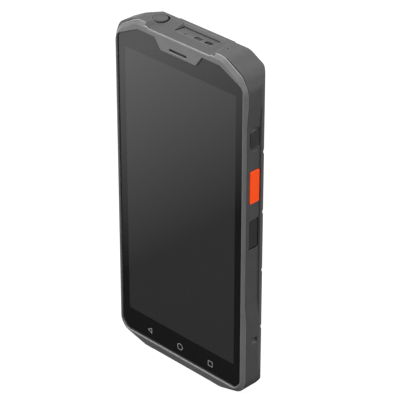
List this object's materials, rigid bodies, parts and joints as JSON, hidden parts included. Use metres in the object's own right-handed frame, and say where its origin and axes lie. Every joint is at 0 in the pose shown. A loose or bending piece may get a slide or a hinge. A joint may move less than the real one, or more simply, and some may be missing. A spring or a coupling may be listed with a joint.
{
  "type": "handheld barcode data terminal",
  "caption": "Handheld data terminal: large touch screen in a bevelled frame, barcode scanner in the top end, sprung side keys, rubber grips, jack plug and a hooked battery door in the back.",
  "frame": {"origin": "centre of the footprint on the standing plane, with the terminal standing on its bottom end", "axes": "+Z along the length to the scanner end, -Y out of the screen, +X to the user's right"},
  "size_m": [0.075, 0.0144, 0.1552],
  "materials": {
    "bezel_plastic": "fine satin grain",
    "housing_plastic": "fine matt grain",
    "door_plastic": "fine matt grain",
    "grip_rubber": "matt, stippled",
    "screen_glass": "polished, black behind",
    "clear_glass": "polished",
    "tape": "matt",
    "display": "satin",
    "mesh_steel": "satin",
    "frame_metal": "matt cast",
    "seal_rubber": "soft",
    "plug_rubber": "matt",
    "key_orange": "satin",
    "key_grey": "satin",
    "gloss_black": "gloss",
    "component_black": "matt",
    "board_laminate": "solder mask",
    "flex_film": "film",
    "screw_steel": "blackened",
    "contact_gold": "polished",
    "battery_shell": "matt film"
  },
  "bodies": {
    "terminal": {"front_bezel": "bezel_plastic", "touch_glass": "screen_glass", "main_housing": "housing_plastic", "left_grip": "grip_rubber", "right_grip": "grip_rubber", "scan_bezel": "gloss_black", "battery_pack": "battery_shell", "glass_tape": "tape", "display_module": "display", "earpiece_mesh": "mesh_steel", "earpiece_receiver": "component_black", "chassis_plate": "frame_metal", "frame_gasket": "seal_rubber", "scan_windows": "clear_glass", "aimer_lens": "clear_glass", "scan_engine": "frame_metal", "right_key_bracket": "frame_metal", "left_key_bracket": "frame_metal", "right_key_flex": "flex_film", "left_key_flex": "flex_film", "right_switches": "mesh_steel", "left_switches": "mesh_steel", "audio_jack": "component_black", "microphones": "mesh_steel", "main_board": "board_laminate", "sub_board": "board_laminate", "board_flex": "flex_film", "shield_cans": "mesh_steel", "board_screws": "screw_steel", "housing_screws": "screw_steel", "usb_c_socket": "mesh_steel", "vibration_motor": "mesh_steel", "loudspeaker": "component_black", "charging_contacts": "contact_gold", "camera_module": "component_black", "camera_window": "screen_glass", "flash_lens": "clear_glass", "battery_connector": "component_black", "battery_seal": "seal_rubber"},
    "power_button": {"power_button": "key_grey"},
    "right_scan_key": {"right_scan_key": "key_orange"},
    "low_key": {"low_key": "key_grey"},
    "left_scan_key": {"left_scan_key": "key_orange"},
    "volume_rocker": {"volume_rocker": "key_grey"},
    "jack_plug": {"jack_plug": "plug_rubber"},
    "battery_door": {"battery_door": "door_plastic"}
  },
  "joints": [
    {"name": "power_press", "type": "slide", "parent": "terminal", "child": "power_button", "axis": [-1, 0, 0], "range_m": [0, 0.00035], "stiffness_N_per_m": 2000, "springref_m": -0.0005},
    {"name": "right_scan_press", "type": "slide", "parent": "terminal", "child": "right_scan_key", "axis": [-1, 0, 0], "range_m": [0, 0.00035], "stiffness_N_per_m": 2500, "springref_m": -0.0005},
    {"name": "low_key_press", "type": "slide", "parent": "terminal", "child": "low_key", "axis": [-1, 0, 0], "range_m": [0, 0.00035], "stiffness_N_per_m": 2000, "springref_m": -0.0005},
    {"name": "left_scan_press", "type": "slide", "parent": "terminal", "child": "left_scan_key", "axis": [1, 0, 0], "range_m": [0, 0.00035], "stiffness_N_per_m": 2500, "springref_m": -0.0005},
    {"name": "volume_tilt", "type": "hinge", "parent": "terminal", "child": "volume_rocker", "pos_m": [-0.03505, -0.0012, 0.0791], "axis": [0, 1, 0], "range_deg": [-2.5, 2.5], "stiffness_Nm_per_rad": 0.1},
    {"name": "plug_pull", "type": "slide", "parent": "terminal", "child": "jack_plug", "axis": [0, 0, 1], "range_m": [0, 0.0095]},
    {"name": "door_open", "type": "hinge", "parent": "terminal", "child": "battery_door", "pos_m": [0, 0.0067, 0.02335], "axis": [-1, 0, 0], "range_deg": [0, 35]}
  ]
}
